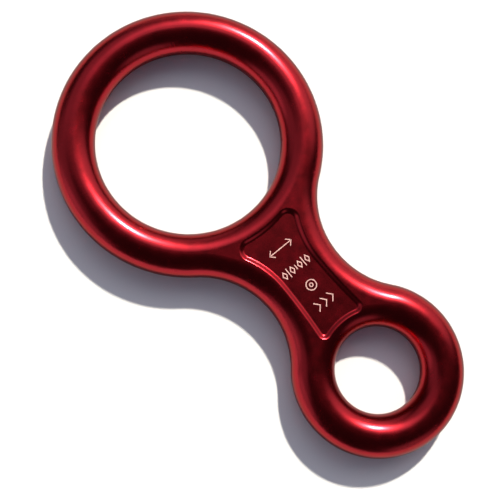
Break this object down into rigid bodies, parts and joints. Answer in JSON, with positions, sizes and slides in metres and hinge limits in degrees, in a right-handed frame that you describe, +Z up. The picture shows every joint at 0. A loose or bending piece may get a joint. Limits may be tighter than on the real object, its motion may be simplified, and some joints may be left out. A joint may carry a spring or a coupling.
{
  "type": "figure-eight descender",
  "caption": "Flat figure-eight bar with fully rounded edges: a large rope eye, a small connector eye and a shallow marking pocket in the waist between them.",
  "frame": {"origin": "middle of the outline, on the surface that the descender lies on", "axes": "+Y along the length, towards the large rope eye; +X across; +Z up, through the thickness"},
  "size_m": [0.0732, 0.1386, 0.0116],
  "materials": {
    "anodised_red": "polished and red anodised, satin gloss",
    "etched_marks": "laser etched through the red layer, matt"
  },
  "bodies": {
    "root": {"descender_body": "anodised_red"}
  },
  "joints": []
}
